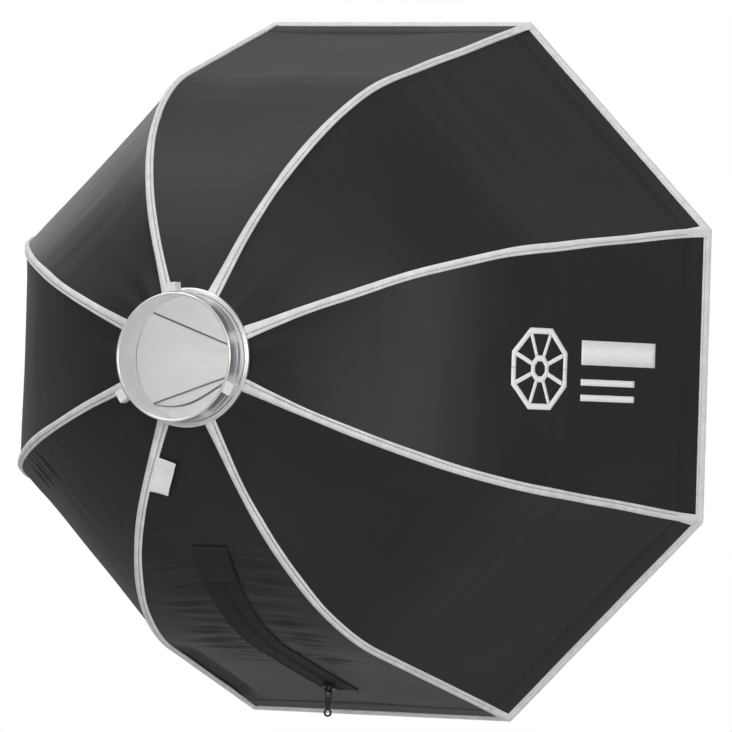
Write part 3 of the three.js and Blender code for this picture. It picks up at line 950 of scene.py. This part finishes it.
def baffle_strap(k):
    """Elastic from the baffle's corner to the rib, sewn round the rib's rod."""
    e, y_axis, tangent = local_frame(k)
    s = LINE.s_at_y(BAFFLE_RIM_Y + 0.004)
    r, y, slope = (float(v[0]) for v in LINE.at(np.array([s]))[:3])
    rod = (r - ROD_DEPTH * math.sin(slope)) * e + (y + ROD_DEPTH * math.cos(slope)) * y_axis
    inner = (BAFFLE_RIM - 0.004) * e + (BAFFLE_RIM_Y + 0.001) * y_axis
    across = unit(rod - inner)
    up = np.cross(across, tangent)
    loop = 0.0034
    path = [inner, inner + (rod - inner) * 0.5 + up * 0.0008]
    for turn in np.linspace(200, -160, 14):
        a = math.radians(turn)
        path.append(rod + (across * math.cos(a) + up * math.sin(a)) * loop)
    path.append(inner + (rod - inner) * 0.45 - up * 0.0012)
    half, thin = 0.004, 0.0005
    rings = []
    for i, p in enumerate(path):
        before, after = path[max(i - 1, 0)], path[min(i + 1, len(path) - 1)]
        out = unit(np.cross(after - before, tangent))
        rings.append([p - tangent * half, p + tangent * half, p + tangent * half + out * thin,
                      p - tangent * half + out * thin])
    obj = swept(f"baffle_strap_{k}", rings, np.zeros((len(rings), 4, 2)))
    dress(obj, LABEL)
    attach(obj, f"rib_{k}")


# Grey painted shade for the baffle's seams and tuck: it stands in for the shade of the doubled and folded
# white cloth.
BAFFLE_PAINTED_SHADE = thread("baffle_painted_shade", (0.40, 0.40, 0.39))
gores = [baffle_half_gore(k, side, panel) for k, side, panel in halves()]
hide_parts("inner_baffle")
baffle_fold()
for k in range(1, RIBS + 1):
    baffle_seam(k)
    baffle_strap(k)


# ---------------------------------------------------------------- mount: tube, lugs and flange
TUBE_WALL = 0.0020
FLANGE_BORE = 0.0498


def mount_tube():
    _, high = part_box("mount_tube")
    outer, length = high.x, high.y
    inner = outer - TUBE_WALL
    lip = 0.0006
    outline = [(inner, lip), (inner + 0.0003, 0.0002), (inner + 0.0007, 0), (outer - 0.0007, 0),
               (outer - 0.0003, 0.0002), (outer, lip), (outer, 0.0110), (outer - 0.0003, 0.0113),
               (outer - 0.0003, 0.0121), (outer, 0.0124), (outer, length - 0.0004), (outer - 0.0004, length),
               (inner + 0.0004, length), (inner, length - 0.0004), (inner, 0.0205), (inner + 0.0002, 0.0200),
               (inner + 0.0002, 0.0192), (inner, 0.0187)]
    obj = lathe("spun_mount_tube", outline, 192)
    rounded(obj, 0.00012, 25)
    dress(obj, ALUMINIUM)
    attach(obj, "root")
    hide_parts("mount_tube")


def flange():
    low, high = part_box("rear_flange")
    outer, rear, front = high.x, low.y, high.y
    inner = FLANGE_BORE
    outline = [(inner, rear + 0.0003), (inner + 0.0004, rear), (outer - 0.0016, rear),
               (outer - 0.0013, rear - 0.0005), (outer - 0.0005, rear - 0.0006), (outer, rear),
               (outer + 0.0001, rear + 0.0012), (outer, front - 0.0003), (outer - 0.0004, front),
               (inner, front)]
    obj = lathe("flange_ring", outline, 192)
    rounded(obj, 0.0002, 25)
    dress(obj, ALUMINIUM)
    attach(obj, "root")
    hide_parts("rear_flange")


def finish_cad(name, material, bevel=0.0):
    """A CAD node that stays: a better material, rounded edges and flat shading."""
    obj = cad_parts[name]
    if bevel:
        rounded(obj, bevel, 35)
    obj.data.polygons.foreach_set("use_smooth", [False] * len(obj.data.polygons))
    dress(obj, material)


mount_tube()
flange()
for i in (1, 2, 3):
    finish_cad(f"bayonet_lug_{i}", LUG_METAL, 0.0005)
for i in (1, 2, 3, 4):
    finish_cad(f"hub_screw_{i}", STEEL, 0.00015)
for k in range(1, RIBS + 1):
    finish_cad(f"rib_{k}", STEEL)
    finish_cad(f"rib_hinge_pin_{k}", STEEL, 0.00015)
    finish_cad(f"rib_tip_{k}", PLASTIC, 0.0003)
finish_cad("rib_ring", RING_METAL, 0.0002)
finish_cad("zip_slider", ZIP_METAL, 0.0003)
finish_cad("zip_pull", ZIP_METAL, 0.0002)

# ---------------------------------------------------------------- zip on the bottom panel
ZIP_TOP = LINE.s_at_y(0.086)
ZIP_END = LINE.s_at_y(0.300)
CHAIN_PITCH = 0.0017
TOOTH_HALF_LENGTH = 0.00042
# Distance from the middle line and height, round one tooth
TOOTH_SECTION = [(0.0012, 0.0008), (0.0012, 0.0019), (0.0004, 0.0023), (0.0001, 0.0019), (0.0001, 0.0008)]
PATCH_LENGTH = 0.034
PATCH_RAMP = 0.016
PATCH_HEM = 0.0150


def zip_half(k, side):
    """One tape: a woven strip with a turned outer edge, a step beside the chain and a row of stitches."""
    s = np.arange(ZIP_TOP - 0.016, ZIP_END + 0.001, 0.0035)
    offsets = [0.0008, 0.0010, 0.0022, 0.0026, 0.0080, 0.0132, 0.0138, 0.0147, 0.0150]
    heights = [0.0002, 0.0016, 0.0017, 0.0010, 0.0009, 0.0010, 0.0014, 0.0014, 0.0001]
    rings = []
    for at in s:
        top = [beside_middle(k, side, at, c, h) for c, h in zip(offsets, heights)]
        under = [beside_middle(k, side, at, offsets[i], -0.0001) for i in (-1, 4, 0)]
        rings.append(top + under)
    across = np.array(offsets + [offsets[-1], offsets[4], offsets[0]])
    weave = np.stack(np.broadcast_arrays(s[:, None], across[None, :]), -1)
    obj = swept(f"zip_tape_half_{k}", rings, weave)
    rounded(obj, 0.0002, 40)
    dress(obj, ZIP_TAPE)
    fold_with(obj)
    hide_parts(f"zip_tape_near_rib_{k}")
    for row, distance in enumerate((0.0120, 0.0040)):
        fine = np.arange(ZIP_TOP - 0.008, ZIP_END - 0.020, 0.002)
        share = 1 - distance / half_width(fine)
        path = canopy(k, side, fine, share, out=0.0010)
        normals = canopy(k, side, fine, share, out=0.0020) - path
        run = stitches(f"zip_stitching_{k}_{row + 1}", path, normals, BLACK_THREAD)
        fold_with(run)


def zip_chain(k, side):
    """The coil teeth of one side, each a rounded block that reaches just past the middle line."""
    points, faces = [], []
    shift = 0 if side > 0 else CHAIN_PITCH / 2
    for at in np.arange(ZIP_TOP, ZIP_END - 0.018, CHAIN_PITCH):
        base = len(points)
        for end in (-TOOTH_HALF_LENGTH, TOOTH_HALF_LENGTH):
            points += [beside_middle(k, side, at + shift + end, c, h) for c, h in TOOTH_SECTION]
        ring = range(5)
        faces += [tuple(base + j for j in ring), tuple(base + 5 + j for j in ring)]
        faces += [(base + j, base + (j + 1) % 5, base + 5 + (j + 1) % 5, base + 5 + j) for j in ring]
    obj = recalc(mesh_object(f"zip_chain_{k}", points, faces, smooth_faces=False))
    dress(obj, PLASTIC)
    fold_with(obj)


def zip_patch(k, side):
    """Half of the cloth patch over the zip's hub end."""
    s = np.linspace(ZIP_TOP - PATCH_LENGTH, ZIP_TOP + 0.002, 12)
    grid = np.linspace(0.0, 0.0158, 8)
    rings = []
    for at in s:
        lift = 0.0012 + 0.0012 * float(smooth(at, s[0], s[0] + PATCH_RAMP))
        top = [beside_middle(k, side, at, c, lift - 0.0008 * (c > PATCH_HEM)) for c in grid]
        under = [beside_middle(k, side, at, c, lift - 0.0007 - 0.0003 * (c > PATCH_HEM)) for c in grid[::-1]]
        rings.append(top + under)
    across = np.concatenate([grid, grid[::-1]])
    weave = np.stack(np.broadcast_arrays(s[:, None], across[None, :]), -1)
    obj = swept(f"zip_patch_{k}", rings, weave)
    dress(obj, PATCH)
    fold_with(obj)


for k, side in ((5, -1), (6, 1)):
    zip_half(k, side)
    zip_chain(k, side)
    zip_patch(k, side)


# ---------------------------------------------------------------- side tag
TAG_START = 0.030
TAG_LENGTH = 0.030
TAG_WIDTH = 0.0175
TAG_OFFSET = 0.0030


def side_tag():
    """A blank folded cloth tag sewn in beside the binding of rib 6, its free edge a little lifted."""
    s, c = np.meshgrid(np.linspace(TAG_START, TAG_START + TAG_LENGTH, 12),
                       np.linspace(TAG_OFFSET, TAG_OFFSET + TAG_WIDTH, 12), indexing="ij")
    lift = 0.0010 + 0.0030 * ((c - TAG_OFFSET) / 0.02) ** 2 + 0.0005 * np.sin(s * 260)
    rows = canopy(6, 1, s + 0.22 * (c - TAG_OFFSET), c / half_width(s), out=lift)
    obj = mesh_object("cloth_side_tag", rows, grid_faces(12, 12, flip=True), np.stack([s, c], -1))
    modifier(obj, "SOLIDIFY", thickness=0.0007, offset=0)
    rounded(obj, 0.0002, 40)
    dress(obj, LABEL)
    fold_with(obj)
    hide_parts("side_tag")


side_tag()


# ---------------------------------------------------------------- generic print on the right panel
PRINT_CENTRE = LINE.total - 0.146
SIGN_AT = -0.052
SIGN_RADIUS = 0.034
SIGN_LINE = 0.0050
BARS = [(-0.004, 0.084, 0.0045, 0.0235), (-0.004, 0.060, -0.0115, -0.0065), (-0.004, 0.060, -0.0235, -0.0185)]


class PrintHalf:
    """Half of a plain sign, an octagon with spokes beside three bars, cut along the panel's middle line."""

    def __init__(self, k, side):
        self.k, self.side = k, side
        self.points, self.faces, self.weave = [], [], []

    def put(self, u, v):
        """A point u towards the rim and v to this half's side of the middle line, in metres."""
        at = np.array([PRINT_CENTRE + u])
        share = 1 - max(v, 0.00003) / half_width(at)
        self.points.append(canopy(self.k, self.side, at, share, out=0.00022)[0])
        self.weave.append((u, v))
        return len(self.points) - 1

    def ribbon(self, pairs):
        """A strip of faces between pairs of points."""
        placed = [(self.put(*a), self.put(*b)) for a, b in pairs]
        self.faces += [(p[0], p[1], q[1], q[0]) for p, q in zip(placed, placed[1:])]

    def octagon(self, inner, outer):
        step = math.pi / 4
        pairs = []
        for a in np.linspace(0, math.pi, 49):
            inside = (a + step / 2) % step - step / 2
            scale = math.cos(step / 2) / math.cos(inside)
            u, v = scale * math.cos(a), scale * math.sin(a)
            pairs.append([(SIGN_AT + r * u, r * v) for r in (inner, outer)])
        self.ribbon(pairs)

    def spoke(self, a):
        x, y = math.cos(a), math.sin(a)
        half = SIGN_LINE * 0.35
        self.ribbon([[(SIGN_AT + x * r - y * w, y * r + x * w) for w in (-half, half)]
                     for r in np.linspace(0.0105, SIGN_RADIUS - SIGN_LINE, 9)])

    def bar(self, start, end, low, high):
        """The part of a bar on this half, from its lower to its upper edge above the middle line."""
        ends = sorted((max(-self.side * low, 0), max(-self.side * high, 0)))
        if ends[1] == 0:
            return
        self.ribbon([[(u, ends[0]), (u, ends[1])] for u in np.linspace(start, end, 22)])

    def made(self):
        self.octagon(SIGN_RADIUS - SIGN_LINE, SIGN_RADIUS)
        self.octagon(0.0062, 0.0062 + SIGN_LINE)
        for i in range(4):
            self.spoke(math.pi / 8 + i * math.pi / 4)
        for bar in BARS:
            self.bar(*bar)
        obj = mesh_object(f"panel_print_near_rib_{self.k}", self.points, self.faces, self.weave)
        modifier(obj, "SOLIDIFY", thickness=0.0001, offset=0)
        dress(obj, PRINT)
        fold_with(obj)


for k, side in ((3, -1), (4, 1)):
    PrintHalf(k, side).made()

# ---------------------------------------------------------------- floor, light and camera
FLOOR_Z = -0.90
FLOOR_HALF = 12.0


def floor():
    mesh = bpy.data.meshes.new("studio_floor")
    corners = [(x * FLOOR_HALF, y * FLOOR_HALF, FLOOR_Z) for x, y in ((-1, -1), (1, -1), (1, 1), (-1, 1))]
    mesh.from_pydata(corners, [], [(0, 1, 2, 3)])
    obj = bpy.data.objects.new("studio_floor", mesh)
    bpy.context.scene.collection.objects.link(obj)
    material, nodes, links, shader = new_material("pale_floor")
    shader.inputs["Base Color"].default_value = (0.62, 0.62, 0.62, 1)
    shader.inputs["Roughness"].default_value = 0.9
    obj.data.materials.append(material)


def sky():
    """White to the camera; to everything else bright in front of the octabox and dim behind it."""
    world = bpy.data.worlds.new("studio")
    bpy.context.scene.world = world
    world.use_nodes = True
    nodes, links = world.node_tree.nodes, world.node_tree.links
    background = nodes["Background"]
    coordinates = node(nodes, "ShaderNodeTexCoord")
    split = node(nodes, "ShaderNodeSeparateXYZ")
    links.new(coordinates.outputs["Generated"], split.inputs[0])
    shade = ramp(nodes, links, split.outputs["Y"], [(0.0, (0.38,)), (0.6, (0.36,)), (0.95, (0.55,))])
    path = node(nodes, "ShaderNodeLightPath")
    mixed = node(nodes, "ShaderNodeMix", data_type="RGBA")
    links.new(path.outputs["Is Camera Ray"], mixed.inputs["Factor"])
    links.new(shade, mixed.inputs["A"])
    mixed.inputs["B"].default_value = (1, 1, 1, 1)
    links.new(mixed.outputs["Result"], background.inputs["Color"])
    background.inputs["Strength"].default_value = 1.0


def soft_light(name, place, aim, size, watts, spread=math.pi):
    data = bpy.data.lights.new(name, "AREA")
    data.spread = spread
    data.shape = "RECTANGLE"
    data.size, data.size_y = size
    data.energy = watts
    obj = bpy.data.objects.new(name, data)
    obj.location = place
    obj.rotation_euler = (Vector(aim) - Vector(place)).to_track_quat("-Z", "Y").to_euler()
    bpy.context.scene.collection.objects.link(obj)


VIEW_AZIMUTH = math.radians(27.0)
VIEW_ELEVATION = math.radians(-0.72)
VIEW_ROLL = math.radians(1.72)
VIEW_DISTANCE = 6.0
VIEW_LENS = 379.3
VIEW_AIM = Vector((0.0740, 0.1793, -0.0010))


def camera():
    a, e, r = VIEW_AZIMUTH, VIEW_ELEVATION, VIEW_ROLL
    back = Vector((math.sin(a) * math.cos(e), -math.cos(a) * math.cos(e), math.sin(e)))
    right = Vector((math.cos(a), math.sin(a), 0))
    up = back.cross(right)
    x = right * math.cos(r) + up * math.sin(r)
    y = up * math.cos(r) - right * math.sin(r)
    data = bpy.data.cameras.new("camera")
    data.sensor_width = 36
    data.lens = VIEW_LENS
    data.clip_end = 60
    obj = bpy.data.objects.new("camera", data)
    place = VIEW_AIM + back * VIEW_DISTANCE
    obj.matrix_world = Matrix(((x.x, y.x, back.x, place.x), (x.y, y.y, back.y, place.y),
                               (x.z, y.z, back.z, place.z), (0, 0, 0, 1)))
    bpy.context.scene.collection.objects.link(obj)
    bpy.context.scene.camera = obj


floor()
sky()
soft_light("upper_left", (-1.4, -1.6, 2.2), (0, 0.15, 0), (1.6, 1.6), 30)
soft_light("overhead", (-0.6, -0.2, 2.4), (0, 0.15, 0), (1.6, 1.6), 17)
soft_light("right", (2.2, -1.4, 0.4), (0, 0.15, 0), (1.2, 1.2), 34)
soft_light("behind", (0.6, -2.6, 0.8), (0, 0.15, 0), (1.6, 1.6), 6)
soft_light("far_left", (-2.3, 1.5, 1.2), (0, 0.15, 0), (1.2, 1.2), 11)
soft_light("front", (0.0, 1.65, 0.0), (0, 0.3, 0), (0.5, 0.5), 1.6, spread=math.radians(60))
soft_light("inside", (0.0, 0.325, 0.0), (0, 0, 0), (0.36, 0.36), 0.45)
camera()
bpy.context.scene.view_settings.view_transform = "Standard"
